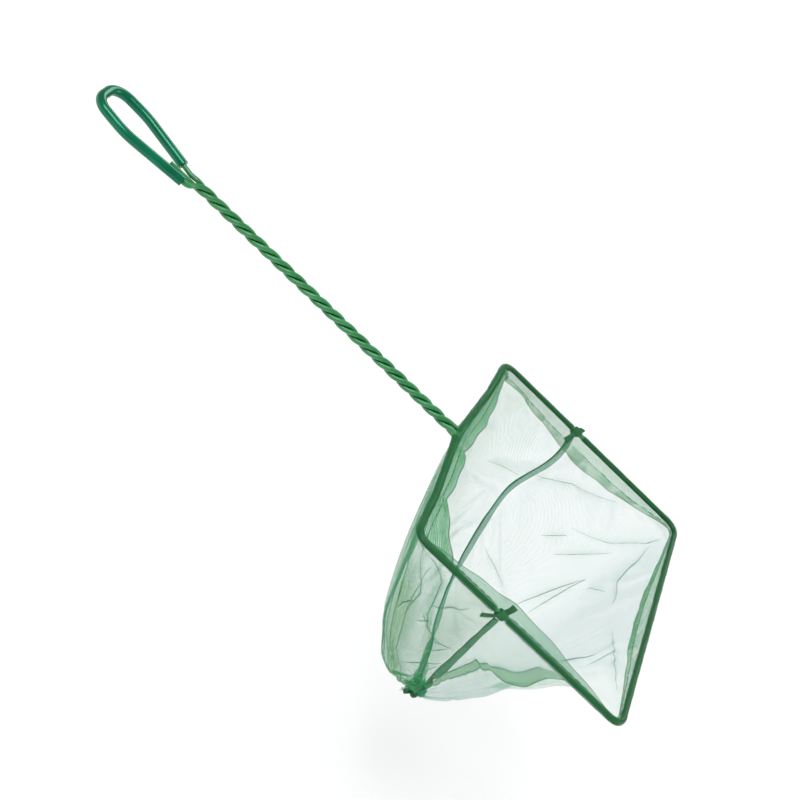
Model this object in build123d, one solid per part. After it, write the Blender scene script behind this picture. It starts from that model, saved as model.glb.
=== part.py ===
"""Aquarium fish net: a twisted wire handle with a hang loop, a wire hoop and a hanging mesh bag.

Millimetres, +Z up, +X along the handle from the hang loop to the hoop.
The origin is the middle of the loop's round end, where a finger or a hook sits.
"""
import math
import os

from build123d import *

os.makedirs("parts", exist_ok=True)

# Wire: coated steel, one length bent into every wire stretch below
wire_d = 1.5
strand_clearance = 0.05
corner_bend = 4.0
flare_bend = 1.7
twist_bend = 6.0

# Hang loop, flat in the hoop's plane
loop_reach = 7.0
loop_bend = 5.2
right_tip_y = 8.0
left_tip_y = -4.3
belly_bend = 20.0
right_belly_x = 5.0
right_belly_y = 7.3
left_belly_x = 4.5
left_belly_y = -6.9
right_leg_end_x = 24.6
right_leg_end_y = 1.2
left_leg_end_x = 26.2
left_leg_end_y = -4.1
leg_bend = 2.2
tail_end_x = 18.3
tail_end_y = -0.7
tail_end_z = -0.6

# Grip sleeve over the hang loop
sleeve_wall = 0.7
sleeve_clearance = 0.05
right_sleeve_end_x = 21.2
left_sleeve_end_x = 24.3

# Handle: three strands in a left-handed twist
twist_start_x = 28.1
twist_length = 97.0
twist_thirds = 20
corners_per_turn = 6
loose_turn = 1.5

# Hoop
hoop_depth = 75.0
hoop_width = 100.0
roof_rise = 5.4
roof_knee_y = 30.0
roof_knee_drop = 0.4
flare_x = 2.4
flare_y = 1.9
tucked_end_x = 4.1
tucked_end_z = -1.1

# Hems folded round the hoop wire
hem_clearance = 0.06
hem_wall = 0.3
hem_split_y = 5.5
tape_x = 30.7
tie_gap = 0.4

# Bag, hung under the hoop and gathered at an apex beyond the hoop's middle
mesh_wall = 0.4
mesh_clearance = 0.2
bag_depth = 75.0
apex_forward = 12.7
gather_radius = 2.2
handle_lag = 0.3
handle_lag_swing = 0.25
far_lead = 0.58
seam_bow = 9.5
seam_bow_width = 30.0
corner_sag = 9.0
corner_sag_depth = 0.75
junction_dip = 2.2
junction_dip_width = 3.0
around_steps = 96
down_steps = 14
seam_gap = 0.2
mouth_bend = 6.0
roof_mouth_bend = 32.0

# Swells of the walls between the seams and the hoop's corners: height, and depth share of the fullest place
handle_corner = 0.19
handle_right_swell = 3.5
handle_right_depth = 0.22
handle_left_swell = 5.9
handle_left_depth = 0.29
handle_whole_swell = 4.4
handle_whole_depth = 0.56
handle_fall = 2.6
far_corner = 0.235
far_left_swell = 3.8
far_left_depth = 0.26
far_middle_swell = 4.5
far_middle_depth = 0.33
far_right_swell = 3.0
far_right_depth = 0.19
far_whole_swell = 5.6
far_whole_depth = 0.33
far_fall = 1.8

# Seam tapes and their ties round the hoop
tape_width = 2.2
tape_thickness = 0.5
tape_clearance = 0.25
tie_length = 2.6
tie_wall = 0.3
tie_tail_length = 3.4
tie_tail_width = 2.0
tie_tail_thickness = 0.3

# Knot under the gathered bag
knot_clearance = 0.6
knot_radius = 2.7
knot_height = 5.0
knot_round = 1.2
knot_tail_length = 8.0
knot_tail_width = 2.0
knot_tail_thickness = 0.6
knot_tail_turn = 35.0

# Positions that follow from the sizes above
twist_end_x = twist_start_x + twist_length
hoop_near_x = twist_end_x + roof_rise
hoop_far_x = hoop_near_x + hoop_depth
hoop_mid_x = (hoop_near_x + hoop_far_x) / 2
half_width = hoop_width / 2
tie_x = hoop_near_x + tape_x
turns = twist_thirds / 3
pitch = twist_length / turns
hem_inner_r = wire_d / 2 + hem_clearance
hem_outer_r = hem_inner_r + hem_wall
mouth_z = -(hem_outer_r + mesh_clearance)
apex_x = hoop_mid_x + apex_forward


def rounded_path(points, bends):
    """Join points by straight runs with a tangent arc at each inner corner, as large as its run allows."""
    points = [Vector(*p) for p in points]
    lengths = [(b - a).length for a, b in zip(points[:-1], points[1:])]
    last = len(lengths) - 1
    room = [n * (0.9 if i in (0, last) else 0.45) for i, n in enumerate(lengths)]
    edges = []
    start = points[0]
    for i in range(1, len(points) - 1):
        before = (points[i - 1] - points[i]).normalized()
        after = (points[i + 1] - points[i]).normalized()
        half_turn = math.radians(180 - before.get_angle(after)) / 2
        reach = min(bends[i - 1] * math.tan(half_turn), room[i - 1], room[i])
        bend = reach / math.tan(half_turn)
        inward = (before + after).normalized()
        crown = points[i] + inward * (bend / math.cos(half_turn) - bend)
        arc_start = points[i] + before * reach
        arc_end = points[i] + after * reach
        edges.append(Edge.make_line(start, arc_start))
        edges.append(Edge.make_three_point_arc(arc_start, crown, arc_end))
        start = arc_end
    edges.append(Edge.make_line(start, points[-1]))
    return Wire(edges)


def tube(path, outer_r, inner_r=0.0):
    """Sweep a round section, hollow when an inner radius is given, along a path."""
    section = Plane(origin=path @ 0, z_dir=path % 0) * Circle(outer_r)
    body = sweep(section, path=path)
    if inner_r:
        bore = Plane(origin=path @ 0, z_dir=path % 0) * Circle(inner_r)
        body = body - sweep(bore, path=path)
    return body


def strand_radius():
    """Find the radius at which neighbouring helices stay one wire and its clearance apart."""
    def least_gap(radius):
        gaps = []
        for step in range(-60, 61):
            lag = math.radians(step)
            across = 2 * radius**2 * (1 - math.cos(2 * math.pi / 3 + lag))
            along = lag * pitch / (2 * math.pi)
            gaps.append(math.sqrt(across + along**2))
        return min(gaps)
    small = wire_d / 2
    large = wire_d
    for _ in range(40):
        middle = (small + large) / 2
        if least_gap(middle) < wire_d + strand_clearance:
            small = middle
        else:
            large = middle
    return large


def middle_of(a, b):
    """Give the point halfway between two points."""
    return tuple((m + n) / 2 for m, n in zip(a, b))


corner_radius = strand_radius() / math.cos(math.pi / corners_per_turn)
corner_count = round(turns * corners_per_turn)


def strand_corner(step, first_angle, extra=0.0):
    """Give one corner of a strand, counted from the hoop back to the loop."""
    angle = math.radians(first_angle + 360 / corners_per_turn * step)
    radius = corner_radius + extra
    x = twist_end_x - pitch / corners_per_turn * step
    return (x, radius * math.cos(angle), radius * math.sin(angle))


def strand(first_angle, hoop_side, loop_side, loosened=0.0):
    """Sweep one handle strand between its two given outer points."""
    corners = []
    for step in range(corner_count + 1):
        extra = loosened if step == corner_count - 1 else 0.0
        corners.append(strand_corner(step, first_angle, extra))
    points = [hoop_side, *corners, loop_side]
    return tube(rounded_path(points, [twist_bend] * len(corners)), wire_d / 2)


# Strands start at these angles where the twist meets the hoop, and end turned by whole thirds
right_angle = 30.0
left_angle = 150.0
low_angle = 270.0
right_start = strand_corner(0, right_angle)
left_start = strand_corner(0, left_angle)
right_neck = strand_corner(corner_count, left_angle)
left_neck = strand_corner(corner_count, low_angle)

# Hoop corners, from the right-hand side of the twist round to the left
right_flare = (twist_end_x + flare_x, flare_y, 0)
left_flare = (twist_end_x + flare_x, -flare_y, 0)
right_knee = (hoop_near_x - roof_knee_drop, roof_knee_y, 0)
left_knee = (hoop_near_x - roof_knee_drop, -roof_knee_y, 0)
right_near = (hoop_near_x, half_width, 0)
left_near = (hoop_near_x, -half_width, 0)
right_far = (hoop_far_x, half_width, 0)
left_far = (hoop_far_x, -half_width, 0)

# Hang loop corners
right_leg_end = (right_leg_end_x, right_leg_end_y, 0)
left_leg_end = (left_leg_end_x, left_leg_end_y, 0)
right_belly = (right_belly_x, right_belly_y, 0)
left_belly = (left_belly_x, left_belly_y, 0)
right_tip = (-loop_reach, right_tip_y, 0)
left_tip = (-loop_reach, left_tip_y, 0)


def on_leg(belly, leg_end, x):
    """Give the point on a straight leg of the loop at a distance along the handle."""
    share = (x - belly[0]) / (leg_end[0] - belly[0])
    return (x, belly[1] + share * (leg_end[1] - belly[1]), 0)


# Wire stretches meet halfway along the straight runs between them
right_hoop_cut = middle_of(right_start, right_flare)
left_hoop_cut = middle_of(left_start, left_flare)
right_loop_cut = middle_of(right_neck, right_leg_end)
left_loop_cut = middle_of(left_neck, left_leg_end)
tail_end = (tail_end_x, tail_end_y, tail_end_z)
tucked_end = (twist_end_x + tucked_end_x, 0, tucked_end_z)

tail_strand = strand(right_angle, right_hoop_cut, tail_end)
right_strand = strand(left_angle, left_hoop_cut, right_loop_cut, loose_turn)
left_strand = strand(low_angle, tucked_end, left_loop_cut)

hoop_points = [right_hoop_cut, right_flare, right_knee, right_near, right_far]
hoop_points += [left_far, left_near, left_knee, left_flare, left_hoop_cut]
half_bends = [flare_bend, twist_bend, corner_bend, corner_bend]
hoop_wire = tube(rounded_path(hoop_points, half_bends + half_bends[::-1]), wire_d / 2)

round_end = [right_belly, right_tip, left_tip, left_belly]
round_bends = [belly_bend, loop_bend, loop_bend, belly_bend]
loop_points = [right_loop_cut, right_leg_end, *round_end, left_leg_end, left_loop_cut]
loop_wire = tube(rounded_path(loop_points, [leg_bend, *round_bends, leg_bend]), wire_d / 2)

# Grip sleeve, on the straight legs and round end of the loop
sleeve_inner_r = wire_d / 2 + sleeve_clearance
right_sleeve_end = on_leg(right_belly, right_leg_end, right_sleeve_end_x)
left_sleeve_end = on_leg(left_belly, left_leg_end, left_sleeve_end_x)
sleeve_path = rounded_path([right_sleeve_end, *round_end, left_sleeve_end], round_bends)
grip_sleeve = tube(sleeve_path, sleeve_inner_r + sleeve_wall, sleeve_inner_r)

# Hems: cloth channels round the hoop, left open at the ties and at the handle
hem_end = tie_length / 2 + tie_gap


def on_roof(side):
    """Give the point where a handle-side hem ends beside the handle."""
    rise = (right_knee[0] - right_flare[0]) / (roof_knee_y - flare_y)
    return (right_flare[0] + rise * (hem_split_y - flare_y), side * hem_split_y, 0)


def handle_hem(side):
    """Sweep the handle-side hem on one side of the handle."""
    knee = (right_knee[0], side * roof_knee_y, 0)
    near = (hoop_near_x, side * half_width, 0)
    points = [on_roof(side), knee, near, (tie_x - hem_end, side * half_width, 0)]
    return tube(rounded_path(points, [twist_bend, corner_bend]), hem_outer_r, hem_inner_r)


far_hem_x = tie_x + hem_end
far_points = [(far_hem_x, half_width, 0), right_far, left_far, (far_hem_x, -half_width, 0)]
far_hem_path = rounded_path(far_points, [corner_bend, corner_bend])
far_hem = tube(far_hem_path, hem_outer_r, hem_inner_r)


handle_mouth_points = [(tie_x - seam_gap, half_width, 0), right_near, right_knee, (right_flare[0], 0, 0)]
handle_mouth_points += [left_knee, left_near, (tie_x - seam_gap, -half_width, 0)]
handle_bends = [mouth_bend, roof_mouth_bend, roof_mouth_bend, roof_mouth_bend, mouth_bend]
handle_mouth = rounded_path(handle_mouth_points, handle_bends)
far_seam_x = tie_x + seam_gap
far_mouth_points = [(far_seam_x, -half_width, 0), left_far, right_far, (far_seam_x, half_width, 0)]
far_mouth = rounded_path(far_mouth_points, [mouth_bend, mouth_bend])


def ease(start, end, x):
    """Rise smoothly from 0 to 1 between start and end."""
    share = min(max((x - start) / (end - start), 0), 1)
    return share * share * (3 - 2 * share)


def hump(share, peak, fall):
    """Rise from 0 to 1 at a peak share and fall back to 0 at share 1, faster for a larger fall."""
    climb = fall * peak / (1 - peak)
    return (share / peak) ** climb * ((1 - share) / (1 - peak)) ** fall


def bag_line(mouth, along, share):
    """Give the bag's inner face without its swells, at a share along a mouth and a share of the depth.

    The way in to the apex follows the depth share to a power that is above 1 on the handle side, so the wall
    drops first there, and below 1 on the far side. The right seam is bowed towards the handle, and the left
    handle corner sags.
    """
    start = mouth @ along
    out = (start - Vector(hoop_mid_x, 0, 0)).normalized()
    arch = math.sin(math.pi * along)
    turn = (1 - math.cos(math.pi * along)) / 2
    if mouth is handle_mouth:
        power = 1 + arch * (handle_lag + handle_lag_swing * turn)
        from_right = along * mouth.length
        sag = corner_sag * arch * turn * hump(share, corner_sag_depth, 1)
    else:
        power = 1 - far_lead * arch
        from_right = (1 - along) * mouth.length
        sag = 0
    inward = share**power
    bow = seam_bow * ease(0.06, 0.34, share) * (1 - 0.9 * ease(0.6, 1.05, share))
    x = start.X + (apex_x + gather_radius * out.X - start.X) * inward
    y = start.Y + (gather_radius * out.Y - start.Y) * inward
    dip = junction_dip * math.exp(-((start.Y / junction_dip_width) ** 2)) * (out.X < 0)
    top = mouth_z - dip
    z = top - (bag_depth + top) * share - sag
    return Vector(x - bow * math.exp(-((from_right / seam_bow_width) ** 2)), y, z)


def swell(mouth, along, share):
    """Give how far a wall swells outward: lobes between seams and corners, and one over the whole panel."""
    if mouth is handle_mouth:
        corner, fall = handle_corner, handle_fall
        whole = handle_whole_swell * hump(share, handle_whole_depth, fall)
        lobes = [(0, corner, handle_right_swell, handle_right_depth)]
        lobes += [(1 - corner, 1, handle_left_swell, handle_left_depth)]
    else:
        corner, fall = far_corner, far_fall
        whole = far_whole_swell * hump(share, far_whole_depth, fall)
        lobes = [(0, corner, far_left_swell, far_left_depth)]
        lobes += [(corner, 1 - corner, far_middle_swell, far_middle_depth)]
        lobes += [(1 - corner, 1, far_right_swell, far_right_depth)]
    total = whole * math.sin(math.pi * along)
    for start, end, height, depth in lobes:
        across = min(max((along - start) / (end - start), 0), 1)
        total += height * math.sin(math.pi * across) ** 2 * hump(share, depth, fall)
    return total


def outward(rows, i, j):
    """Give the outward normal of a grid of bag points at one of them."""
    above = rows[max(i - 1, 0)][j]
    below = rows[min(i + 1, len(rows) - 1)][j]
    before = rows[i][max(j - 1, 0)]
    after = rows[i][min(j + 1, len(rows[i]) - 1)]
    normal = (below - above).cross(after - before).normalized()
    away = rows[i][j] - Vector(apex_x, 0, 0)
    return normal if normal.dot(Vector(away.X, away.Y, -bag_depth / 2)) > 0 else normal * -1


def bag_rows(places_at):
    """Give a grid of bag points, row by row; places_at gives each row's mouths and shares along them."""
    shares = [(i / down_steps) ** 2 for i in range(down_steps + 1)]
    places = [places_at(share) for share in shares]
    lines = []
    for share, row in zip(shares, places):
        lines.append([bag_line(mouth, along, share) for mouth, along in row])
    rows = []
    for i, share in enumerate(shares):
        row = []
        for j, (mouth, along) in enumerate(places[i]):
            row.append(lines[i][j] + outward(lines, i, j) * swell(mouth, along, share))
        rows.append(row)
    return rows


def cloth(rows, offset, wall):
    """Close two smooth skins over a grid of bag points, one at an offset outward and one a wall further."""
    def skin(distance):
        grid = []
        for i, row in enumerate(rows):
            grid.append([point + outward(rows, i, j) * distance for j, point in enumerate(row)])
        return Face.make_surface_from_array_of_points(grid, tol=0.005, min_deg=3)
    inner = skin(offset)
    outer = skin(offset + wall)
    sides = []
    for edge in inner.edges():
        match = min(outer.edges(), key=lambda other: (other @ 0.5 - edge @ 0.5).length)
        sides.append(Face.make_surface_from_curves(edge, match))
    return Solid(Shell([inner, outer, *sides]))


def panel(mouth):
    """Make one mesh panel below its stretch of the hoop."""
    row = [(mouth, j / around_steps) for j in range(around_steps + 1)]
    return cloth(bag_rows(lambda share: row), 0.0, mesh_wall)


handle_panel = panel(handle_mouth)
far_panel = panel(far_mouth)


def beside_seam(side, distance):
    """Give the mouth and the share along it at a distance from a seam, counted towards the far side."""
    if distance < 0:
        share = -distance / handle_mouth.length
        return (handle_mouth, share if side > 0 else 1 - share)
    share = distance / far_mouth.length
    return (far_mouth, 1 - share if side > 0 else share)


def seam_tape(side):
    """Make one seam tape over the seam between the panels, from its tie to the knot."""
    def places(share):
        a, b = [bag_line(*beside_seam(side, distance), share) for distance in (-1, 1)]
        spread = (b - a).length / 2
        return [beside_seam(side, tape_width * (j / 4 - 0.5) / spread) for j in range(5)]
    return cloth(bag_rows(places), mesh_wall + tape_clearance, tape_thickness)


def tape_tie(side):
    """Make the tie that holds a seam tape on the hoop, with its hanging tail."""
    inner_r = wire_d / 2 + hem_clearance
    outer_r = inner_r + tie_wall
    middle = Pos(tie_x, side * half_width, 0) * Rot(0, 90, 0)
    ring = middle * (Cylinder(outer_r, tie_length) - Cylinder(inner_r, 2 * tie_length))
    inside_y = side * (half_width - outer_r + tie_tail_thickness / 2)
    strip = Box(tie_tail_width, tie_tail_thickness, tie_tail_length)
    tail = Pos(tie_x, inside_y, tie_tail_length / 2) * strip
    return ring + tail


# Knot: a rounded lump with two tape tails, clear below the gathered panels
knot_top = -bag_depth - knot_clearance
knot_middle = Pos(apex_x, 0, knot_top - knot_height / 2)
lump = knot_middle * Cylinder(knot_radius, knot_height)
lump = fillet(lump.edges().filter_by(GeomType.CIRCLE), knot_round)
bottom_knot = lump
for turn in (180 - knot_tail_turn, 180 + knot_tail_turn):
    tail = Pos(knot_tail_length / 2, 0, 0) * Box(knot_tail_length, knot_tail_width, knot_tail_thickness)
    bottom_knot = bottom_knot + knot_middle * Rot(0, 0, turn) * tail

nodes = {
    "hoop_wire": hoop_wire,
    "handle_strand_tail": tail_strand,
    "handle_strand_right": right_strand,
    "handle_strand_left": left_strand,
    "loop_wire": loop_wire,
    "grip_sleeve": grip_sleeve,
    "handle_hem_right": handle_hem(1),
    "handle_hem_left": handle_hem(-1),
    "far_hem": far_hem,
    "handle_panel": handle_panel,
    "far_panel": far_panel,
    "seam_tape_right": seam_tape(1),
    "seam_tape_left": seam_tape(-1),
    "tape_tie_right": tape_tie(1),
    "tape_tie_left": tape_tie(-1),
    "bottom_knot": bottom_knot,
}
for name, shape in nodes.items():
    shape.label = name
    export_step(shape, "parts/" + name + ".step")
    box = shape.bounding_box()
    print(name, round(shape.volume, 2), [round(v, 1) for v in (*box.min, *box.max)])
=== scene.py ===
"""Looks of the aquarium fish net: wires and sleeve from the CAD frame, soft pieces built over it.

Every piece is drawn in millimetres in the row's own frame and scaled to metres when its mesh is made.
"""
import bpy
import math
import numpy as np
from mathutils import Matrix, Vector


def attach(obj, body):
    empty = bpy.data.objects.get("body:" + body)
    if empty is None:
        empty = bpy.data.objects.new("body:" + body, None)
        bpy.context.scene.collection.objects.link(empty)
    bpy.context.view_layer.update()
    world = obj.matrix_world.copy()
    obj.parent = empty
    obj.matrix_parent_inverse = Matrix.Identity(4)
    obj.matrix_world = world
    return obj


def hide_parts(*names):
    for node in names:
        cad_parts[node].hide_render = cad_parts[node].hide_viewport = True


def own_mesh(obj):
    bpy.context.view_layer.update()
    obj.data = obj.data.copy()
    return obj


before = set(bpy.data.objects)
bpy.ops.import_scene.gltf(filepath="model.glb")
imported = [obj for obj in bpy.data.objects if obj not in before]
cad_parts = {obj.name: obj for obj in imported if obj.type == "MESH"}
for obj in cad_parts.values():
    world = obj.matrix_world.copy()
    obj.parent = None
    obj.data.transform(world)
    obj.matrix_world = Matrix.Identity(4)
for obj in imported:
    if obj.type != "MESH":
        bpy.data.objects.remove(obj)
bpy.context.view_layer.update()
scene = bpy.context.scene


# Coated wire: one steel wire with a satin green plastic coat, bent to the hoop, the handle and the hang loop.
# Its stretches keep their CAD shape. The coat drifts slowly in colour and has a fine orange peel. In the
# grooves between the twisted strands, ambient occlusion paints shade into it as a deep green.
def linear(code):
    """Turn an sRGB hex colour into linear RGBA."""
    shares = [int(code[i:i + 2], 16) / 255 for i in (1, 3, 5)]
    return [s / 12.92 if s <= 0.04045 else ((s + 0.055) / 1.055) ** 2.4 for s in shares] + [1.0]


def add(tree, kind, sockets=None, **settings):
    """Add one node, set its properties, and set or link its input sockets by name or place."""
    node = tree.nodes.new("ShaderNode" + kind)
    for name, value in settings.items():
        setattr(node, name, value)
    for name, value in (sockets or {}).items():
        if isinstance(value, bpy.types.NodeSocket):
            tree.links.new(value, node.inputs[name])
        else:
            node.inputs[name].default_value = value
    return node


def material(name, finish):
    """Start a material with a finish, and give it, its node tree, its shader and Object coordinates."""
    made = bpy.data.materials.new(name)
    made.use_nodes = True
    tree = made.node_tree
    shader = tree.nodes["Principled BSDF"]
    for label, value in finish.items():
        shader.inputs[label].default_value = value
    place = add(tree, "TexCoord").outputs["Object"]
    return made, tree, shader, place


# Places of the two colours and of the result on a Mix node that is set to colour.
mix_first = 6
mix_second = 7
mix_result = 2


def blotches(tree, place, scale, low, high):
    """Noise at a scale per metre, spread between two colours."""
    noise = add(tree, "TexNoise", {"Vector": place, "Scale": scale, "Detail": 4.0})
    spread = add(tree, "MapRange", {"Value": noise.outputs["Fac"], "From Min": 0.35, "From Max": 0.65})
    colours = {"Factor": spread.outputs["Result"], mix_first: linear(low), mix_second: linear(high)}
    return add(tree, "Mix", colours, data_type="RGBA").outputs[mix_result]


def wire_coat(name, low, high, deep_green_and_shade):
    """Satin plastic coat between two greens, with painted shade: a deep green where strands lie close
    together, read from ambient occlusion.
    """
    satin = {"Roughness": 0.3, "Coat Weight": 0.4, "Coat Roughness": 0.12}
    made, tree, shader, place = material(name, satin)
    # Painted shade: ambient occlusion darkens the coat to the deep green in the grooves between strands.
    groove_occlusion = add(tree, "AmbientOcclusion", {"Distance": 0.0012}, samples=8)
    painted_groove_shade = add(tree, "MapRange", {"Value": groove_occlusion.outputs["AO"], "From Min": 0.35, "From Max": 0.8})
    plain = blotches(tree, place, 160.0, low, high)
    colours = {"Factor": painted_groove_shade.outputs["Result"], mix_first: linear(deep_green_and_shade), mix_second: plain}
    mix = add(tree, "Mix", colours, data_type="RGBA")
    tree.links.new(mix.outputs[mix_result], shader.inputs["Base Color"])
    peel = add(tree, "TexNoise", {"Vector": place, "Scale": 2600.0, "Detail": 3.0})
    grain = add(tree, "Bump", {"Height": peel.outputs["Fac"], "Strength": 0.1, "Distance": 0.0001})
    tree.links.new(grain.outputs["Normal"], shader.inputs["Normal"])
    return made


def dress(name, look):
    """Give a CAD node its material."""
    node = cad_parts[name]
    node.data.materials.clear()
    node.data.materials.append(look)


# The last colour of each coat is the painted shade in its grooves.
handle_coat = wire_coat("handle_coat", "#278546", "#3a985a", "#11461f")
hoop_coat = wire_coat("hoop_coat", "#2b8e49", "#3a9c5a", "#1a5c33")
for name in ("handle_strand_tail", "handle_strand_right", "handle_strand_left", "loop_wire"):
    dress(name, handle_coat)
dress("hoop_wire", hoop_coat)

# Grip sleeve: a tube of dark glossy plastic, pushed over the hang loop. It keeps its CAD shape.
# Slow waves break its gloss, and the gloss is tinted green, as on soft extruded plastic.
sleeve_finish = {"Roughness": 0.17, "Specular IOR Level": 1.0, "Specular Tint": linear("#8fe8c4")}
gloss, tree, shader, place = material("sleeve_gloss", sleeve_finish)
tree.links.new(blotches(tree, place, 90.0, "#035f40", "#0a7252"), shader.inputs["Base Color"])
waves = add(tree, "TexNoise", {"Vector": place, "Scale": 130.0, "Detail": 1.0})
uneven = add(tree, "Bump", {"Height": waves.outputs["Fac"], "Strength": 0.15, "Distance": 0.0005})
tree.links.new(uneven.outputs["Normal"], shader.inputs["Normal"])
dress("grip_sleeve", gloss)

# Bag: two panels of fine green netting that hang below the hoop and meet at a seam on each long side.
# The mouth follows the hoop wire, and both seams run to a gathered end beyond the hoop's middle. The net is
# drawn from depth profiles and then settled as cloth.
millimetre = 0.001
hoop_near = 130.5
hoop_far = 205.5
half_width = 50.0
corner_bend = 4.0
knee_x = hoop_near - 0.4
knee_y = 30
junction_x = 127.5
tie_x = 161.2
mouth_z = -1.17
bag_depth = 76.0
apex = np.array([180.7, -0.4])
gather = 2.0
handle_columns = 132
far_columns = 128
rows = 80


def unit(points):
    """Scale each row of an array to length 1."""
    return points / np.linalg.norm(points, axis=1)[:, None]


def rounded(corners, bend):
    """Join points by straight runs, with a circular arc of the given bend at each inner corner."""
    corners = [np.array(c, float) for c in corners]
    path = [corners[0]]
    for before, corner, after in zip(corners[:-2], corners[1:-1], corners[2:]):
        back = (before - corner) / np.linalg.norm(before - corner)
        on = (after - corner) / np.linalg.norm(after - corner)
        half = (math.pi - math.acos(np.clip(back @ on, -1, 1))) / 2
        reach = bend * math.tan(half)
        middle = corner + (back + on) / np.linalg.norm(back + on) * bend / math.cos(half)
        first = corner + back * reach - middle
        last = corner + on * reach - middle
        for share in np.linspace(0, 1, 12):
            spoke = first * math.sin((1 - share) * 2 * half) + last * math.sin(share * 2 * half)
            path.append(middle + spoke / math.sin(2 * half))
    return np.array(path + [corners[-1]])


def run_of(path):
    """Give the length walked along a path up to each of its points."""
    return np.r_[0, np.cumsum(np.linalg.norm(np.diff(path, axis=0), axis=1))]


def even(path, count):
    """Resample a path at even steps of its length."""
    length = run_of(path)
    marks = np.linspace(0, length[-1], count)
    return np.stack([np.interp(marks, length, axis) for axis in path.T], 1)


def smooth(start, end, x):
    """Rise from 0 to 1 between start and end: three times the share squared less twice its cube."""
    share = np.clip((x - start) / (end - start), 0, 1)
    return share * share * (3 - 2 * share)


def bell(middle, reach, x):
    """Fall off from 1 at the middle: e to the minus square of the distance counted in reaches."""
    return np.exp(-((x - middle) / reach) ** 2)


handle_corners = [(tie_x, half_width), (hoop_near, half_width), (knee_x, knee_y), (junction_x, 0),
                  (knee_x, -knee_y), (hoop_near, -half_width), (tie_x, -half_width)]
far_corners = [(tie_x, -half_width), (hoop_far, -half_width), (hoop_far, half_width), (tie_x, half_width)]
handle_mouth = even(rounded(handle_corners, corner_bend), handle_columns + 1)
far_mouth = even(rounded(far_corners, corner_bend), far_columns + 1)
mouth = np.vstack([handle_mouth[:-1], far_mouth[:-1]])
mouth_middle = np.array([(hoop_near + hoop_far) / 2, 0])
columns = len(mouth)
on_handle = np.arange(columns) < handle_columns
along = np.r_[np.arange(handle_columns) / handle_columns, np.arange(far_columns) / far_columns]
arch = np.sin(math.pi * along)
turn = (1 - np.cos(math.pi * along)) / 2
step = np.linalg.norm(mouth - np.roll(mouth, 1, 0), axis=1)
walked = np.cumsum(step) - step[0]
from_right_tie = np.minimum(walked, step.sum() - walked)
out = unit(mouth - mouth_middle)


def profile(depth):
    """Give one ring of the bag at a share of its depth.

    A ring moves from the mouth to the apex by depth to a power. The power is above 1 on the handle side, so
    that wall drops first, and below 1 on the far side. The right seam is bowed towards the handle. The bow
    rises near the mouth, fades low down, and falls off to both sides by a bell curve. The left handle corner
    sags by depth cubed times the depth that is left.
    """
    bow_size = 9.5
    bow_reach = 30
    sag_size = 9.5
    sag_spread = 9
    handle_power = 1 + arch ** 0.5 * (0.22 + 0.3 * turn)
    far_power = 1 - 0.42 * arch ** 0.6
    power = np.where(on_handle, handle_power, far_power)
    ring = mouth + (apex + gather * out - mouth) * (depth ** power)[:, None]
    bow = bow_size * smooth(0.06, 0.34, depth) * (1 - 0.9 * smooth(0.6, 1.05, depth))
    ring[:, 0] -= bow * bell(0, bow_reach, from_right_tie)
    late = sag_size * depth ** 3 * (1 - depth)
    sag = late * np.where(on_handle, sag_spread * arch * turn, 0)
    return np.c_[ring, mouth_z - (bag_depth + mouth_z) * depth - sag]


bag = np.array([profile(depth) for depth in np.linspace(0, 1, rows + 1)])


def grid_faces(height, width, closed=False):
    """Quads over a grid of points, row by row, closed round the row when asked."""
    i, j = np.meshgrid(np.arange(height - 1), np.arange(width if closed else width - 1), indexing="ij")
    k = (j + 1) % width
    corners = [i * width + j, (i + 1) * width + j, (i + 1) * width + k, i * width + k]
    return np.stack(corners, -1).reshape(-1, 4)


def mesh_object(name, points, faces, look=None, uv=None):
    """Make a smooth-shaded mesh from millimetre points; uv gives one pair of metres per point."""
    mesh = bpy.data.meshes.new(name)
    places = np.asarray(points).reshape(-1, 3) * millimetre
    mesh.from_pydata(places.tolist(), [], [list(face) for face in faces])
    mesh.polygons.foreach_set("use_smooth", np.ones(len(mesh.polygons), bool))
    if uv is not None:
        corner = np.zeros(len(mesh.loops), np.int32)
        mesh.loops.foreach_get("vertex_index", corner)
        layer = mesh.uv_layers.new(name="UVMap")
        layer.uv.foreach_set("vector", np.asarray(uv, np.float32).reshape(-1, 2)[corner].ravel())
    mesh.update()
    made = bpy.data.objects.new(name, mesh)
    scene.collection.objects.link(made)
    if look is not None:
        mesh.materials.append(look)
    return made


def tubes(name, paths, radius, look, sides=8, flat=1.0, across=None):
    """Make one mesh of closed tubes along point paths.

    Radius is one size for all paths, or a list with one entry per path. Flat squeezes the tubes to that share
    of their width, and across gives each path its wide way.
    """
    slant = [0.31, 0.22, 0.92]
    turns = np.linspace(0, 2 * math.pi, sides, endpoint=False)
    points = []
    faces = []
    base = 0
    for index, path in enumerate(paths):
        path = np.asarray(path, float)
        tangent = unit(np.gradient(path, axis=0))
        wide = np.cross(tangent, slant) if across is None else np.asarray(across[index], float)
        wide = unit(wide - tangent * (wide * tangent).sum(1)[:, None])
        thin = flat * np.cross(tangent, wide)
        size = np.broadcast_to(radius[index] if isinstance(radius, list) else radius, (len(path),))
        ring = wide[:, None] * np.cos(turns)[None, :, None] + thin[:, None] * np.sin(turns)[None, :, None]
        points.append((path[:, None] + ring * size[:, None, None]).reshape(-1, 3))
        faces += [list(base + face) for face in grid_faces(len(path), sides, closed=True)[:, ::-1]]
        faces.append(list(base + np.arange(sides)[::-1]))
        faces.append(list(base + (len(path) - 1) * sides + np.arange(sides)))
        base += len(path) * sides
    return mesh_object(name, np.concatenate(points), faces, look)


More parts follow.
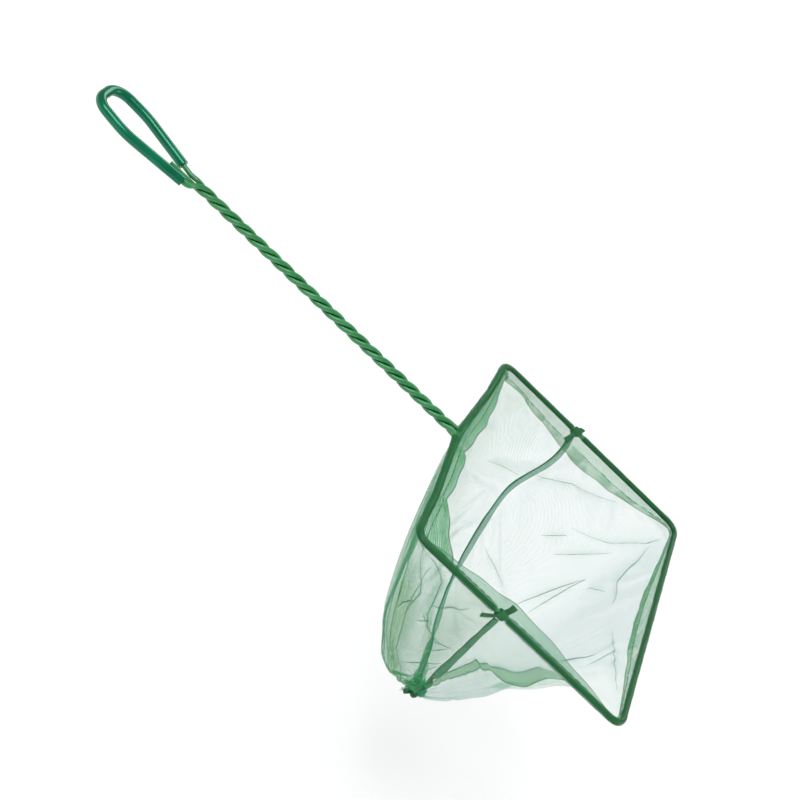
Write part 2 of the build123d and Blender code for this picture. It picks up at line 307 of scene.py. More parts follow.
def settle(grid, frames):
    """Let the net hang as cloth for some frames and give its grid back.

    It runs ten times life size. The mouth, both seams and the gathered end are pinned, the cloth is cut a
    little larger than its profile, and gravity leans the way the net is held.
    """
    life_sizes = 10
    pinned = np.zeros(grid.shape[:2], bool)
    pinned[:2] = True
    pinned[-3:] = True
    pinned[:, [0, handle_columns]] = True
    trial = mesh_object("trial", grid * life_sizes, grid_faces(*grid.shape[:2], closed=True))
    pins = trial.vertex_groups.new(name="pins")
    pins.add(np.flatnonzero(pinned).tolist(), 1.0, "REPLACE")
    cloth = trial.modifiers.new("cloth", "CLOTH")
    cloth.settings.vertex_group_mass = "pins"
    cloth.settings.quality = 6
    cloth.settings.mass = 0.05
    cloth.settings.tension_stiffness = 12.0
    cloth.settings.compression_stiffness = 12.0
    cloth.settings.shear_stiffness = 3.0
    cloth.settings.bending_stiffness = 0.02
    cloth.settings.shrink_min = -0.085
    cloth.point_cache.frame_start = 1
    cloth.point_cache.frame_end = frames
    scene.gravity = (2.4, -0.8, -9.4)
    for moment in range(1, frames + 1):
        scene.frame_set(moment)
    hung = trial.evaluated_get(bpy.context.evaluated_depsgraph_get())
    place = np.zeros(len(hung.data.vertices) * 3, np.float32)
    hung.data.vertices.foreach_get("co", place)
    scene.frame_set(1)
    bpy.data.objects.remove(trial)
    return place.reshape(grid.shape).astype(float) * (1000 / life_sizes)


bag = settle(bag, 40)


def normals(grid, closed=False):
    """Unit normals of a grid, outward where rows go down and columns go round from the right tie."""
    down = np.gradient(grid, axis=0)
    if closed:
        across = (np.roll(grid, -1, 1) - np.roll(grid, 1, 1)) / 2
    else:
        across = np.gradient(grid, axis=1)
    facing = np.cross(down, across)
    return facing / np.maximum(np.linalg.norm(facing, axis=2, keepdims=True), 1e-9)


def relax(grid, rounds):
    """Even out grid-sized zigzags: each inner point moves halfway to the mean of its four neighbours."""
    for _ in range(rounds):
        mean = (grid[:-2] + grid[2:] + np.roll(grid, 1, 1)[1:-1] + np.roll(grid, -1, 1)[1:-1]) / 4
        eased = grid.copy()
        eased[1:-1] += (mean - grid[1:-1]) / 2
        eased[:, [0, handle_columns]] = grid[:, [0, handle_columns]]
        grid = eased
    return grid


def refine(grid):
    """Double a closed grid both ways, with each new point on the cubic through its four neighbours.

    That is nine sixteenths of the two next to it, less one sixteenth of the two beyond them.
    """
    between = (9 * (grid + np.roll(grid, -1, 1)) - np.roll(grid, 1, 1) - np.roll(grid, -2, 1)) / 16
    wide = np.stack([grid, between], 2).reshape(grid.shape[0], -1, 3)
    above = np.vstack([2 * wide[:1] - wide[1:2], wide[:-2]])
    below = np.vstack([wide[2:], 2 * wide[-1:] - wide[-2:-1]])
    between = (9 * (wide[:-1] + wide[1:]) - above - below) / 16
    tall = np.zeros((2 * len(wide) - 1, *wide.shape[1:]))
    tall[0::2] = wide
    tall[1::2] = between
    return tall


bag = refine(relax(bag, 2))
seam = {"right": 0, "left": 2 * handle_columns}
around = bag.shape[1]
row_mark = np.arange(len(bag))[:, None] / 2
column_mark = np.arange(around)[None] / 2

# Under the near one of the hoop's two far corners the net is drawn in, and lower down it is a little slack.
# The handle's wall is drawn in above and slack below.
corner_way = [-0.69, 0.46, 0.57]
corner_draw = 4.6 * smooth(0, 9, row_mark) * smooth(52, 32, row_mark)
corner_slack = 0.9 * smooth(50, 62, row_mark) * smooth(80, 72, row_mark)
corner_span = smooth(146, 157, column_mark) * smooth(198, 168, column_mark)
bag += ((corner_draw - corner_slack) * corner_span)[..., None] * corner_way
wall_way = [0.72, 0.28, 0.64]
wall_draw = 1.8 * smooth(4, 18, row_mark) * smooth(46, 30, row_mark)
wall_slack = 2.0 * smooth(46, 60, row_mark) * smooth(78, 66, row_mark)
wall_span = smooth(70, 90, column_mark) * smooth(122, 108, column_mark)
bag += ((wall_draw - wall_slack) * wall_span)[..., None] * wall_way
facing = normals(bag, closed=True)

# Near the knot the net is gathered into small flutes, which die out at the seams.
flute_height = 0.35
round_share = column_mark / column_mark.max()
flute = np.sin(26 * math.pi * round_share + 2.2 * np.sin(6 * math.pi * round_share))
to_right_seam = np.minimum(column_mark, columns - column_mark)
to_seam = np.minimum(np.abs(column_mark - handle_columns), to_right_seam)
flute = flute_height * flute * smooth(48, 70, row_mark) * smooth(1, 9, to_seam)
bag += facing * flute[..., None]
facing = normals(bag, closed=True)
dense = np.zeros(bag.shape[:2])


def on_net(field, column, row):
    """Read a field of the net between its grid points, from the four points round each place."""
    left = np.floor(column).astype(int)
    top = np.floor(row).astype(int)
    over = (column - left)[..., None]
    under = (row - top)[..., None]
    upper = field[top, left % around] * (1 - over) + field[top, (left + 1) % around] * over
    lower = field[top + 1, left % around] * (1 - over) + field[top + 1, (left + 1) % around] * over
    return upper * (1 - under) + lower * under


def pinch(stops, height, width, thick):
    """Pinch the net up along a line of (column, row) stops, and thicken its threads there.

    The ridge falls off exponentially with the distance from the line, and weakens towards both ends. The
    thickening has a narrow core where the net lies double, and a wide faint skirt that is painted shade.
    The line's columns and rows and the strength along it are given back.
    """
    stops = np.array(stops, float) * 2
    count = 2 * max(int(np.abs(np.diff(stops, axis=0)).sum()), 8)
    marks = np.linspace(0, len(stops) - 1, count)
    column, row = [np.interp(marks, np.arange(len(stops)), stops[:, k]) for k in (0, 1)]
    line = on_net(bag, column, row)
    fade = np.sin(math.pi * np.linspace(0.04, 0.96, count)) ** 0.6
    away = np.full(bag.shape[:2], 1e9)
    share = np.zeros(bag.shape[:2])
    for point, strength in zip(line, fade):
        distance = np.linalg.norm(bag - point, axis=2)
        nearer = distance < away
        away[nearer] = distance[nearer]
        share[nearer] = strength
    spread = np.maximum(width * share, 0.05)
    bag[:] += facing * (height * share * np.exp(-away / (2 * width)))[..., None]
    core = 0.7 * np.exp(-(away / spread) ** 2)
    # Painted shade: a faint, wide skirt of thicker thread darkens the net beside the line.
    painted_shade_skirt = 0.3 * np.exp(-away / (3 * spread))
    dense[:] = np.maximum(dense, thick * share * (core + painted_shade_skirt))
    return column, row, fade


# Creases seen in the photo on the far and right walls, as (column, row) stops on the coarse grid.
ridges = []
for stops in ([(12, 22), (1, 19)], [(261, 17), (253, 9), (243, 4)],
              [(244, 16), (236, 12), (230, 6), (229, 3)], [(246, 23), (243, 18)], [(241, 24), (233, 13)],
              [(232, 39), (230, 22)], [(237, 40), (230, 22)], [(227, 22), (221, 16)],
              [(213, 13), (222, 12), (229, 5)], [(197, 10), (178, 5), (169, 2)],
              [(194, 30), (184, 13)], [(255, 38), (244, 39)]):
    ridges.append(pinch(stops, height=-0.7, width=0.9, thick=0.16))
wall_creases = len(ridges)

# Pleats of the near handle corner run down to the knot with chance bends, and crumples lie beside them.
luck = np.random.default_rng(11)
for column in range(84, 114, 7):
    bend = luck.uniform(-4, 4, 3)
    stops = [(column + bend[0], 5), (column + bend[1], 26), (column + 3 + bend[2], 50), (column + 4, 74)]
    ridges.append(pinch(stops, height=-1.0, width=0.9, thick=0.3))
for stops in ([(116, 18), (118, 21), (122, 25), (124, 28), (129, 30)], [(116, 23), (121, 19)],
              [(118, 14), (121, 11), (126, 5)], [(114, 48), (122, 44), (129, 42)],
              [(107, 30), (108, 27), (112, 21)]):
    ridges.append(pinch(stops, height=-0.7, width=0.7, thick=0.3))

# Both edges of the doubled fold along the near bottom, and two folds under the near handle corner.
fold_upper = [(135, 74), (134.5, 50), (136, 26), (138, 22), (140, 15), (142, 10), (145, 4), (147, 1)]
fold_lower = [(138.5, 74), (138, 50), (138.4, 26), (141, 20), (144, 18), (146, 13), (148, 7), (150, 1)]
for stops in (fold_upper, fold_lower):
    ridges.append(pinch(stops, height=0.4, width=0.6, thick=0.3))
for stops in ([(109, 2), (113, 16), (110, 29)], [(112, 2), (117, 6), (118, 18), (122, 27)]):
    ridges.append(pinch(stops, height=-0.8, width=0.9, thick=0.35))
facing = normals(bag, closed=True)

# The net crowds together at the near handle corner and at the gathered end. Beside the right seam it is made
# denser as painted shade. Round the left seam it is thinner, but for a strip high on the handle panel. Its
# near half and its dense places, the painted shade among them, are a deeper green.
crowd = 0.34 * bell(109, 5, column_mark) + 0.08 * bell(100, 20, column_mark)
gathered = 0.25 * smooth(66, 78, row_mark) + 1.8 * smooth(76, 80, row_mark)
dense = np.maximum(dense, crowd * smooth(2, 24, row_mark))
dense = np.maximum(dense, gathered)
thin = bell(142, 26, column_mark)
# Painted shade: beside the right seam the net is made denser and deeper green.
painted_shade = bell(20, 12, column_mark)
veil = bell(126, 6, column_mark) * smooth(48, 34, row_mark)
dense += 0.14 * painted_shade - 0.14 * thin + 0.15 * veil
near_half = smooth(25, 60, column_mark) * smooth(178, 150, column_mark)
tint = np.maximum(0.65 * near_half + 0.25 * veil, smooth(0, 0.35, dense))


def shell(name, grid, facing, wall, look, uv, thick=None, green=None):
    """Close a grid into a thin sheet: one skin half a wall to each side, joined round the rim.

    Both skins carry the same thread pattern. Seen flat on they cover each other, and seen aslant they don't,
    so the net thickens towards its edges as real netting does. Thick gives extra thread width per point, and
    green how far its colour goes to the deep one.
    """
    height, width = grid.shape[:2]
    count = height * width
    half_wall = facing * wall / 2
    points = np.concatenate([(grid + half_wall).reshape(-1, 3), (grid - half_wall).reshape(-1, 3)])
    faces = grid_faces(height, width)
    top = np.arange(width)
    bottom = count - width + top
    left = np.arange(height) * width
    right = left + width - 1
    rim = np.concatenate([top, right[1:], bottom[::-1][1:], left[::-1][1:]])
    sides = np.stack([rim[:-1], rim[1:], rim[1:] + count, rim[:-1] + count], 1)
    skins = np.concatenate([faces, faces[:, ::-1] + count, sides])
    made = mesh_object(name, points, skins, look, np.concatenate([uv.reshape(-1, 2)] * 2))
    for label, share in (("dense", thick), ("tint", thick if green is None else green)):
        share = np.zeros(count) if share is None else share.ravel()
        layer = made.data.attributes.new(label, "FLOAT", "POINT")
        layer.data.foreach_set("value", np.concatenate([share, share]).astype(np.float32))
    return made


def netting(name, low, high, deep_green_and_shade, spacing, thread, swell):
    """A net of crossed threads on UV metres, clear between them.

    A thread covers its width over the spacing, and swell times as much again for each unit of the dense
    attribute. The tint attribute takes its colour to the deep one.
    """
    made, tree, shader, place = material(name, {"Roughness": 0.6, "Specular IOR Level": 0.25})
    extra = add(tree, "Attribute", attribute_name="dense").outputs["Fac"]
    tint = add(tree, "Attribute", attribute_name="tint").outputs["Fac"]
    colours = {"Factor": tint, mix_first: blotches(tree, place, 120.0, low, high), mix_second: linear(deep_green_and_shade)}
    mix = add(tree, "Mix", colours, data_type="RGBA")
    tree.links.new(mix.outputs[mix_result], shader.inputs["Base Color"])
    growth = {0: extra, 1: swell * thread / spacing, 2: thread / spacing}
    width = add(tree, "Math", growth, operation="MULTIPLY_ADD")
    flat = add(tree, "SeparateXYZ", {"Vector": add(tree, "TexCoord").outputs["UV"]})
    masks = []
    for axis in ("X", "Y"):
        turns = add(tree, "Math", {0: flat.outputs[axis], 1: 1 / spacing}, operation="MULTIPLY")
        phase = add(tree, "Math", {0: turns.outputs[0]}, operation="FRACT")
        covered = add(tree, "Math", {0: phase.outputs[0], 1: width.outputs[0]}, operation="LESS_THAN")
        masks.append(covered.outputs[0])
    either = add(tree, "Math", {0: masks[0], 1: masks[1]}, operation="MAXIMUM")
    tree.links.new(either.outputs[0], shader.inputs["Alpha"])
    return made


def fan(grid):
    """Unroll a panel flat like a fan, in metres.

    Each point lies at its length from the gathered end, turned by its share of the way round the mouth.
    """
    steps = np.linalg.norm(np.diff(grid, axis=0), axis=2)
    reach = np.vstack([np.cumsum(steps[::-1], axis=0)[::-1], np.zeros((1, grid.shape[1]))])
    width = np.linalg.norm(np.diff(grid[0], axis=0), axis=1).sum()
    angle = (np.linspace(0, 1, grid.shape[1]) - 0.5) * width / reach[0].mean()
    return np.stack([reach * np.sin(angle), reach * np.cos(angle)], -1) * millimetre


def hang(piece):
    """Let a piece follow the bag: it rides with the frame, on a mesh of its own."""
    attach(piece, "frame")
    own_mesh(piece)


# The threads lie 0.33 mm apart, about one dot of the picture, so that the net reads as a clear veil.
net_wall = 0.03
net_look = netting("net", "#4aaba0", "#58b5a8", "#38aa50", spacing=0.00033, thread=0.000034, swell=4.2)
panels = {}
spans = {"handle_net": np.arange(0, seam["left"] + 1),
         "far_net": np.arange(seam["left"], around + 1) % around}
for name, span in spans.items():
    cloth = bag[:, span]
    panels[name] = shell(name, cloth, facing[:, span], net_wall, net_look, fan(cloth), dense[:, span],
                         tint[:, span])
    hang(panels[name])
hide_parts("handle_panel")
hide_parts("far_panel")


# Creases: along a crease the panel's own net lies double, and the crease moves with the panel.
# Each is a fine flat ribbon on the net that thins towards both ends, greener on the near walls. On the far
# and right walls it is grey: doubled net with painted crease shade.
def plain_net(name, low, high, cover):
    """Doubled net seen as one plain sheet between two greens, which covers the given share."""
    made, tree, shader, place = material(name, {"Roughness": 0.7, "Alpha": cover})
    tree.links.new(blotches(tree, place, 300.0, low, high), shader.inputs["Base Color"])
    return made


crease_end = 0.03
crease_swell = 0.15
keep_every = 3
# Painted shade: the far and right walls' crease ribbons are grey where the doubled net is green.
far_crease_net_and_shade_look = plain_net("far_crease_net_and_shade", "#6d9488", "#7fa497", 0.42)
near_look = plain_net("near_crease_net", "#4c9a78", "#63ab8a", 0.55)
for name, group, look in (("far_creases", ridges[:wall_creases], far_crease_net_and_shade_look),
                          ("near_creases", ridges[wall_creases:], near_look)):
    paths = []
    sizes = []
    for column, row, fade in group:
        paths.append(on_net(bag, column, row)[::keep_every])
        sizes.append(crease_end + crease_swell * fade[::keep_every] ** 1.5)
    hang(tubes(name, paths, sizes, look, sides=6, flat=0.4))

# Bottom fold: along the near bottom the far panel's net lies double in a band from the knot to the hoop.
# The band widens to a leaf shape at the hoop. It is a second ply of net just outside the panel.
ply_wall = 0.05
fold_gap = 0.2
bottom_fold_look = plain_net("fold_over_net", "#4cae68", "#63b97c", 0.36)
fold_row = np.linspace(1, 74, 120)
fold_edges = []
for stops in (fold_upper, fold_lower):
    column, row = np.array(stops[::-1], float).T
    fold_edges.append(np.interp(fold_row, row, column)[:, None])
across_fold = np.linspace(0, 1, 9)[None]
fold_column = 2 * (fold_edges[0] * (1 - across_fold) + fold_edges[1] * across_fold)
fold_rows = np.broadcast_to(2 * fold_row[:, None], fold_column.shape)
fold_away = on_net(facing, fold_column, fold_rows)
fold_grid = on_net(bag, fold_column, fold_rows) + fold_gap * fold_away
fold_uv = fold_grid[..., :2] * millimetre
far_fold = shell("far_net_fold", fold_grid, fold_away, ply_wall, bottom_fold_look, fold_uv)
hang(far_fold)

# Hems: each panel's edge is folded over the hoop wire from outside to inside and sewn down.
# The fold rides with the wire. The loose flap inside hangs on the bag, and a darker line runs along its
# turned edge.
hem_radius = 0.94
level_z = -0.8
level_rise = np.array([0, 0, 0.02])
stitch_reach = 3.0
stitch_share = 0.6
fine_mouth = bag[0, :, :2]
ahead = unit(np.roll(fine_mouth, -1, 0) - np.roll(fine_mouth, 1, 0))
outward = np.stack([-ahead[:, 1], ahead[:, 0]], 1)
outward *= np.sign((outward * (fine_mouth - mouth_middle)).sum(1))[:, None]
corner_spots = np.array([[x, y] for x in (hoop_near, hoop_far) for y in (-half_width, half_width)])
to_corner = np.linalg.norm(fine_mouth[:, None] - corner_spots[None], axis=2).min(1)
far_side = smooth(hoop_far - 3, hoop_far - 1, fine_mouth[:, 0])
near_side = smooth(half_width - 3, half_width - 0.5, -fine_mouth[:, 1])
handle_side = smooth(hoop_near + 3, hoop_near + 0.5, fine_mouth[:, 0])
level_share = np.maximum(near_side, handle_side)

# The flap narrows towards the corners, with a tongue at the top one and a wide web at the near handle corner.
flap_width = 5.6 - 2.6 * far_side - 1.2 * handle_side + 2.4 * near_side
flap_width = 0.8 + flap_width * np.clip(to_corner / 34, 0, 1) ** 0.75
top_corner = np.array([hoop_near, half_width])
flap_width += 2.0 * bell(0, 5, np.linalg.norm(fine_mouth - top_corner, axis=1))
web_y = -28
web = (fine_mouth[:, 0] < hoop_near + 3.2) & (fine_mouth[:, 1] < web_y)
into_web = web_y - fine_mouth[web, 1]
flap_width[web] = 3.9 + 9.6 * into_web / (half_width + web_y) - (fine_mouth[web, 0] - hoop_near)
inner_way = -outward
inner_way[web] = [1.0, 0.0]
lengths = np.vstack([np.zeros((1, around)), np.cumsum(np.linalg.norm(np.diff(bag, axis=0), axis=2), axis=0)])
centre = seam["left"] // 2
tie_gap = 3
hem_spans = {"handle_hem_right": np.arange(tie_gap, centre + 1),
             "handle_hem_left": np.arange(centre, seam["left"] - tie_gap),
             "far_hem": np.arange(seam["left"] + tie_gap, around - tie_gap)}
flap_spans = {"handle_hem_right": np.arange(0, centre + 1),
              "handle_hem_left": np.arange(centre, seam["left"] + 1),
              "far_hem": np.arange(seam["left"], around + 1)}
flap_look = netting("hem_net", "#4fae80", "#60b98c", "#3cb45e", spacing=0.00036, thread=0.00003, swell=2.5)
wrap_look = netting("fold_net", "#2b9751", "#36a15d", "#126231", spacing=0.00036, thread=0.000035, swell=3.0)


def on_bag(column, reach, lift):
    """Give the point of a column at a length from the mouth, lifted off the net along its normal."""
    place = [np.interp(reach, lengths[:, column], bag[:, column, k]) for k in range(3)]
    away = [np.interp(reach, lengths[:, column], facing[:, column, k]) for k in range(3)]
    return np.array(place) + lift * np.array(away)


def hem_fold(name, span):
    """Wrap the net round the wire: a grid of turns about the hoop's centre line.

    It is swollen on the near and handle sides, bunched at the handle, slightly rippled, and streaked along
    its length by the cosine of four times the turn. The streaks are denser, deeper green plies, and their
    dark lines are also painted shade for the wire's sheen.
    """
    here = span % around
    turns = np.radians(np.linspace(-92, 238, 18))
    bunched = bell(centre, 7, span)[:, None]
    swollen = hem_radius + 0.16 * level_share[here][:, None] + 0.3 * bunched
    ripple = swollen + 0.04 * np.sin(span * 0.9)[:, None] * np.cos(2 * turns)[None]
    ripple = ripple + 0.03 * np.sin(span * 0.37)[:, None]
    flat = fine_mouth[here][:, None] + outward[here][:, None] * (ripple * np.cos(turns))[..., None]
    grid = np.concatenate([flat, (ripple * np.sin(turns))[..., None]], 2)
    run = run_of(fine_mouth[here])
    uv = np.stack(np.broadcast_arrays(run[:, None], hem_radius * turns[None]), -1) * millimetre
    # Painted shade: dark lengthwise streaks of denser, deep green net stand in for the shade lines of the
    # wire's sheen, as well as plies.
    ply_and_shade_streaks = 1 + 0.9 * np.cos(4 * turns[None] + 0.8 * np.sin(0.06 * span)[:, None])
    thick = np.maximum(0.5 * level_share, 0.15)[here][:, None] * ply_and_shade_streaks + 0.5 * bunched
    return shell(name, grid, -normals(grid), ply_wall, wrap_look, uv, thick, ply_and_shade_streaks / 2)


def hem_flap(name, span):
    """Hang the flap inside the mouth, and give it and its edge line.

    One ply goes down to the edge, and a folded ply goes back up to the stitches. The flap lies on the net,
    except on the near and handle sides, where it stands off level as it does in the photo.
    """
    here = span % around
    first_ply = np.linspace(0, 1, 10)
    second_ply = np.linspace(0.97, 0, 7)
    plies = np.r_[first_ply, second_ply]
    second = np.r_[np.zeros(len(first_ply)), np.ones(len(second_ply))]
    grid = np.zeros((len(span), len(plies), 3))
    for i, column in enumerate(here):
        width = flap_width[column] * (1 + 0.05 * math.sin(0.31 * span[i]))
        turn_up = min(stitch_reach, stitch_share * width) * (1 - 0.85 * handle_side[column])
        reach = np.where(second > 0, turn_up + (width - turn_up) * plies, width * plies)
        inward = np.r_[inner_way[column], 0]
        level = np.r_[fine_mouth[column], level_z] + reach[:, None] * (inward + level_rise)[None]
        dip = 1.7 * math.exp(-(fine_mouth[column, 1] / 3.5) ** 2) * handle_side[column]
        level[:, 2] -= 0.25 * second + dip
        wall = on_bag(column, reach, -(0.25 + 0.25 * second)).T
        wall = wall + (0.5 * inward + [0, 0, 0.4]) * np.exp(-reach / 1.5)[:, None]
        grid[i] = wall + (level - wall) * level_share[column]
    run = run_of(fine_mouth[here])
    down = np.r_[0, np.cumsum(np.linalg.norm(np.diff(grid, axis=1), axis=2).mean(0))]
    uv = np.stack(np.broadcast_arrays(run[:, None] * 1.03, down[None] * 1.07), -1) * millimetre
    thick = np.repeat((0.45 + 0.1 * handle_side - 0.4 * near_side)[here][:, None], len(plies), 1)
    edge = grid[::2, len(first_ply) - 1] + [0, 0, 0.05]
    return shell(name, grid, normals(grid), ply_wall, flap_look, uv, thick), edge


flap_edges = []
for name, span in hem_spans.items():
    fold = hem_fold(name + "_fold", span)
    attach(fold, "frame")
    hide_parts(name)
    flap, edge = hem_flap(name + "_flap", flap_spans[name])
    hang(flap)
    flap_edges.append(edge)
edge_radius = 0.11
flap_edge_look = plain_net("flap_edge_net", "#4d8a68", "#62997a", 0.6)
flap_lines = tubes("hem_flap_edges", flap_edges, edge_radius, flap_edge_look, sides=6, flat=0.6)
hang(flap_lines)

# Sewing thread: short running stitches of green thread hold each flap to the net, up to three millimetres
# from the wire. Each stitch is a small tube that dips into the cloth at both ends.
thread_radius = 0.11
stitch_step = 4
stitch_height = 0.62
thread_look, tree, shader, place = material("sewing_thread", {"Roughness": 0.7})
tree.links.new(blotches(tree, place, 700.0, "#1f6a42", "#2f7d52"), shader.inputs["Base Color"])
for name, span in hem_spans.items():
    stitches = []
    for start in range(int(span[0]) + 3, int(span[-1]) - 4, stitch_step):
        path = []
        for share in np.linspace(0, 1, 7):
            column = int(round(start + 2 * share)) % around
            reach = min(stitch_reach, stitch_share * flap_width[column])
            lift = stitch_height * math.sin(math.pi * share) ** 0.5
            wall = on_bag(column, reach, -lift)
            inward = np.r_[-outward[column], 0]
            level = np.r_[fine_mouth[column], level_z + 0.2 * lift] + reach * (inward + level_rise)
            point = wall + (level - wall) * level_share[column]
            path.append(point + 0.3 * (share - 0.5) * np.r_[ahead[column], 0])
        stitches.append(path)
    sewn = tubes(name + "_stitches", stitches, thread_radius, thread_look, sides=6)
    hang(sewn)


# Seam tapes: flat tubes of loosely woven green tape, sewn down both seams on the outside, twisted and uneven.
# A dark rolled edge runs down each, and the right one turns narrow below its middle. They end in the knot.
def tape_weave(name, low, high, clear):
    """Woven tape between two greens, ribbed, and see-through by the given share."""
    made, tree, shader, place = material(name, {"Roughness": 0.7, "Alpha": 1 - clear})
    tree.links.new(blotches(tree, place, 500.0, low, high), shader.inputs["Base Color"])
    ribs = add(tree, "TexWave", {"Vector": place, "Scale": 700.0, "Distortion": 4.0, "Detail": 2.0})
    weave = add(tree, "Bump", {"Height": ribs.outputs["Fac"], "Strength": 0.5, "Distance": 0.0001})
    tree.links.new(weave.outputs["Normal"], shader.inputs["Normal"])
    return made


def eased(values, reach=4):
    """Smooth a run of points along its length with a moving mean, its ends repeated outward."""
    padded = np.concatenate([np.repeat(values[:1], reach, 0), values, np.repeat(values[-1:], reach, 0)])
    return np.mean([padded[k:k + len(values)] for k in range(2 * reach + 1)], axis=0)


tape_lift = 0.45
tape_forms = {"left": {"look": tape_weave("near_tape_weave", "#3a8659", "#529c73", 0.2),
                       "belly": 0.5, "narrow": 0, "phase": 0, "edge": -1},
              "right": {"look": tape_weave("far_tape_weave", "#4f9f70", "#6bb48a", 0.5),
                        "belly": 0.3, "narrow": 0.6, "phase": 2, "edge": 1}}
edge_look = tape_weave("tape_edge", "#226f40", "#33844f", 0.1)
for side, column in seam.items():
    form = tape_forms[side]
    share = np.linspace(0, 1, 90)
    reach = (lengths[-1, column] - 0.5) * share
    line = eased(np.array([on_bag(column, r, tape_lift) for r in reach]))
    beside = [np.array([on_bag((column + k) % around, r, tape_lift) for r in reach]) for k in (-2, 2)]
    over = unit(eased(beside[1] - beside[0]))
    away = unit(np.cross(over, np.gradient(line, axis=0)))
    tilt = 0.35 * np.sin(7 * share + form["phase"])[:, None]
    wide = over + tilt * away
    size = 0.75 + form["belly"] * np.sin(math.pi * share) + 0.08 * np.sin(23 * share) + 0.3 * share ** 3
    size *= 1 - form["narrow"] * bell(0.66, 0.09, share)
    ribbon = tubes("seam_tape_" + side + "_weave", [line], [size], form["look"], 14, 0.24, [wide])
    sway = form["edge"] * size * (0.85 + 0.15 * np.sin(9 * share))
    edge_line = line + unit(wide) * sway[:, None]
    edge_size = 0.27 + 0.05 * np.sin(31 * share)
    rolled = tubes("seam_tape_" + side + "_edge", [edge_line], edge_size, edge_look)
    hang(ribbon)
    hang(rolled)
    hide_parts("seam_tape_" + side)

# Ties: each seam tape goes twice round the hoop wire and is knotted, with two short cut ends.
# The left one's ends stand up and out. Of the right one's ends, one hangs inside the mouth.
tie_look = tape_weave("tie_weave", "#1c6236", "#2c7747", 0.0)


def tie(name, side, ends):
    """Wrap tape round the wire at a seam and add its cut ends, each a small flat tube."""
    wrap_radius = 1.22
    tape_half = 0.75
    y = side * half_width
    paths = []
    wide = []
    sizes = []
    turns = np.linspace(0, 2 * math.pi, 25)
    for lean in (-0.55, 0.55):
        slant = tie_x + lean + 0.35 * np.sin(turns)
        paths.append(np.stack([slant, y + wrap_radius * np.cos(turns), wrap_radius * np.sin(turns)], 1))
        wide.append(np.tile([1.0, 0, 0], (len(turns), 1)))
        sizes.append(np.full(len(turns), tape_half))
    share = np.linspace(0, 1, 9)[:, None]
    for start, move in ends:
        straight = np.array([tie_x, y, 0.0]) + np.array(start) + share * np.array(move)
        paths.append(straight + 0.25 * np.sin(3 * share) * [[1, 0, 0]])
        wide.append(np.tile(np.cross(move, [0.3, 0.9, 0.3]), (len(share), 1)))
        sizes.append(np.linspace(tape_half, 0.95, len(share)))
    made = tubes(name + "_wrap", paths, sizes, tie_look, 12, 0.36, wide)
    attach(made, "frame")
    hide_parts(name)


tie("tape_tie_left", -1, [((0.4, 0.6, 0.9), (0.6, 0.4, 3.0)), ((-0.8, -0.9, -0.4), (-3.6, -2.4, -1.6))])
tie("tape_tie_right", 1, [((-0.3, -1.1, -0.2), (-0.6, -1.7, -3.2)), ((0.4, 0.4, 0.9), (0.5, 0.6, 0.9))])


for name, span in spans.items():
    side = name.split("_")[0]

# Knot: both tapes are tied round the gathered net, and their cut ends fray below it.
# It is made of three rings of tape, a core, two tails and loose hairs, and moves with the bag's bottom.
paths = []
wide = []
sizes = []
turns = np.linspace(0, 2 * math.pi, 33)
for radius, drop, tilt in ((1.5, -75.8, 0.4), (1.6, -76.8, -0.5), (1.2, -77.7, 0.6)):
    paths.append(np.stack([apex[0] + radius * np.cos(turns), apex[1] + radius * np.sin(turns),
                           drop + tilt * np.cos(turns + drop)], 1))
    wide.append(np.tile([0.1, 0.1, 1.0], (len(turns), 1)))
    sizes.append(0.7 + 0.1 * np.sin(3 * turns))
core_sizes = np.array([1.1, 1.3, 1.4, 1.4, 1.4, 1.3, 1.1, 0.8, 0.4])
core = [[apex[0] + 0.3 * math.sin(k), apex[1], -74.5 - 0.6 * k] for k in range(len(core_sizes))]
paths.append(np.array(core))
wide.append(np.tile([1.0, 0.2, 0], (len(core_sizes), 1)))
sizes.append(core_sizes)
first_tail = len(paths)
share = np.linspace(0, 1, 10)
for swing in (-0.7, 0.5):
    paths.append(np.stack([apex[0] - 1.0 - 2.2 * share, apex[1] + swing * (1 + 3 * share),
                           -77.4 - 0.9 * share + 0.6 * share ** 2], 1))
    wide.append(np.tile([0.1, 0.8, 0.5], (len(share), 1)))
    sizes.append(np.linspace(0.7, 0.95, len(share)))
hair_way = np.array([-1.1, 0, -0.2])
hair_radius = 0.07
share = np.linspace(0, 1, 6)[:, None]
for hair in range(16):
    lean = luck.normal(0, 0.35, 3)
    root = paths[first_tail + hair % 2][-1] + luck.normal(0, 0.3, 3) * [0.3, 1, 0.5]
    curl = luck.normal(0, 0.3, 3)
    paths.append(root + share * (hair_way + lean) + share ** 2 * curl)
    wide.append(np.tile([0.0, 0.3, 1.0], (len(share), 1)))
    sizes.append(np.full(len(share), hair_radius))
knot = tubes("bottom_knot_wraps", paths, sizes, tie_look, 12, 0.6, wide)
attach(knot, "bag_bottom")
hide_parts("bottom_knot")

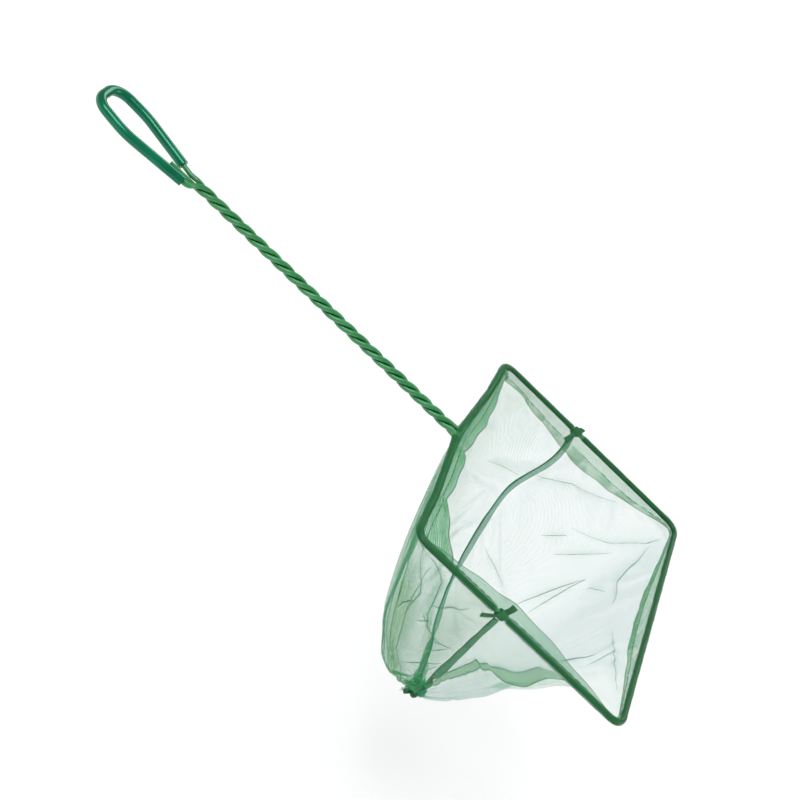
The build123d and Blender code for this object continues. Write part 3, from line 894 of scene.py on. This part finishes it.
# Stage: a white paper floor that keeps the faint shadow, soft white surroundings and three wide soft suns.
# The camera stands where the photo was taken from, rolled as the photo is. The surroundings are dimmer in
# reflections, so that the coats keep their colour.
world = bpy.data.worlds.new("surroundings")
scene.world = world
world.use_nodes = True
background = world.node_tree.nodes["Background"]
background.inputs["Color"].default_value = (1, 1, 1, 1)
bounce = add(world.node_tree, "LightPath").outputs["Is Glossy Ray"]
level = add(world.node_tree, "MapRange", {"Value": bounce, "To Min": 0.5, "To Max": 0.22})
world.node_tree.links.new(level.outputs["Result"], background.inputs["Strength"])
floor_reach = 20
floor_z = -0.115
floor_ways = ((-1, -1), (1, -1), (1, 1), (-1, 1))
floor_corners = [(x * floor_reach, y * floor_reach, floor_z) for x, y in floor_ways]
floor_mesh = bpy.data.meshes.new("floor")
floor_mesh.from_pydata(floor_corners, [], [(0, 1, 2, 3)])
floor = bpy.data.objects.new("floor", floor_mesh)
scene.collection.objects.link(floor)
paper_finish = {"Base Color": (0.9, 0.9, 0.9, 1), "Roughness": 0.9, "Specular IOR Level": 0.0,
                "Emission Color": (0.12, 0.12, 0.12, 1)}
paper, tree, shader, place = material("paper", paper_finish)
seen = add(tree, "LightPath").outputs["Is Camera Ray"]
tree.links.new(seen, shader.inputs["Emission Strength"])
floor_mesh.materials.append(paper)
for name, spot, energy in (("key", (-0.35, -0.25, 0.7), 1.4), ("side", (0.75, 0.1, 0.5), 0.5),
                           ("back", (0.133, 0.843, 0.521), 0.7)):
    lamp = bpy.data.lights.new(name, "SUN")
    lamp.angle = math.radians(32)
    lamp.energy = energy
    light = bpy.data.objects.new(name, lamp)
    light.rotation_euler = Vector(spot).to_track_quat("Z", "Y").to_euler()
    scene.collection.objects.link(light)

lens = bpy.data.cameras.new("camera")
lens.lens = 76.24
lens.sensor_width = 36.0
lens.clip_start = 0.01
lens.clip_end = 50.0
camera = bpy.data.objects.new("camera", lens)
view_right = np.array([0.7159, 0.2817, 0.6389])
view_down = np.array([0.6855, -0.4576, -0.5663])
view_ahead = np.array([0.1328, 0.8434, -0.5207])
turned = Matrix(np.stack([view_right, -view_down, -view_ahead], 1).tolist())
camera.rotation_euler = turned.to_euler()
camera.location = (0.0461, -0.4017, 0.2430)
scene.collection.objects.link(camera)
scene.camera = camera
scene.view_settings.view_transform = "Standard"
scene.cycles.transparent_max_bounces = 40
